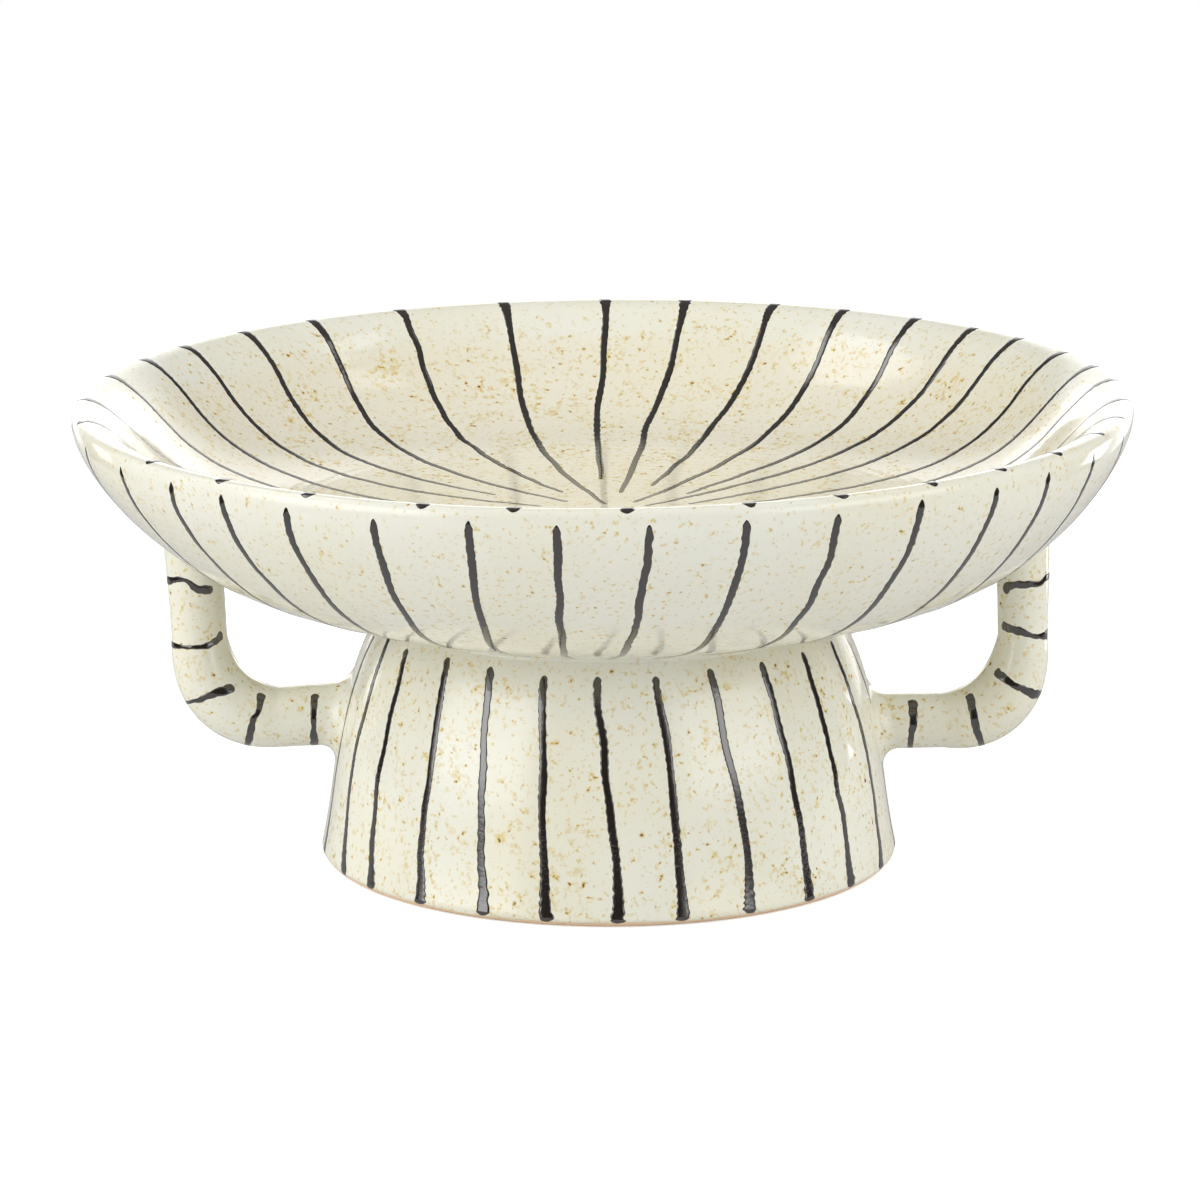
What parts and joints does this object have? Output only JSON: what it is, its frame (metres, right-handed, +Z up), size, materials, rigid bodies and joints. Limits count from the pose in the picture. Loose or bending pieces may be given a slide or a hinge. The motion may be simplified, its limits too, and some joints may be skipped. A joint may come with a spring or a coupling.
{
  "type": "footed decorative dish",
  "caption": "Wide shallow stoneware dish on a bell-shaped foot, with a bent loop handle on each side, cream speckled glaze and dark brushed stripes.",
  "frame": {"origin": "on the axis of the bowl and foot, at the level of the surface the foot ring stands on", "axes": "+Z up along the axis of the bowl, X through the two handles, the front of the picture looks along +Y"},
  "size_m": [0.22, 0.22, 0.0975],
  "materials": {
    "cream_glaze": "glossy cream glaze with orange-brown iron speckle",
    "stripe_glaze": "glossy iron-black brushed stripe under the glaze",
    "bare_clay": "wiped bare clay on the foot ring, matt"
  },
  "bodies": {
    "root": {"dish_bowl": "cream_glaze", "pedestal_foot": "cream_glaze", "waist_slip_ring": "cream_glaze", "handle_left": "cream_glaze", "handle_left_upper_slip": "cream_glaze", "handle_left_lower_slip": "cream_glaze", "handle_right": "cream_glaze", "handle_right_upper_slip": "cream_glaze", "handle_right_lower_slip": "cream_glaze"}
  },
  "joints": []
}
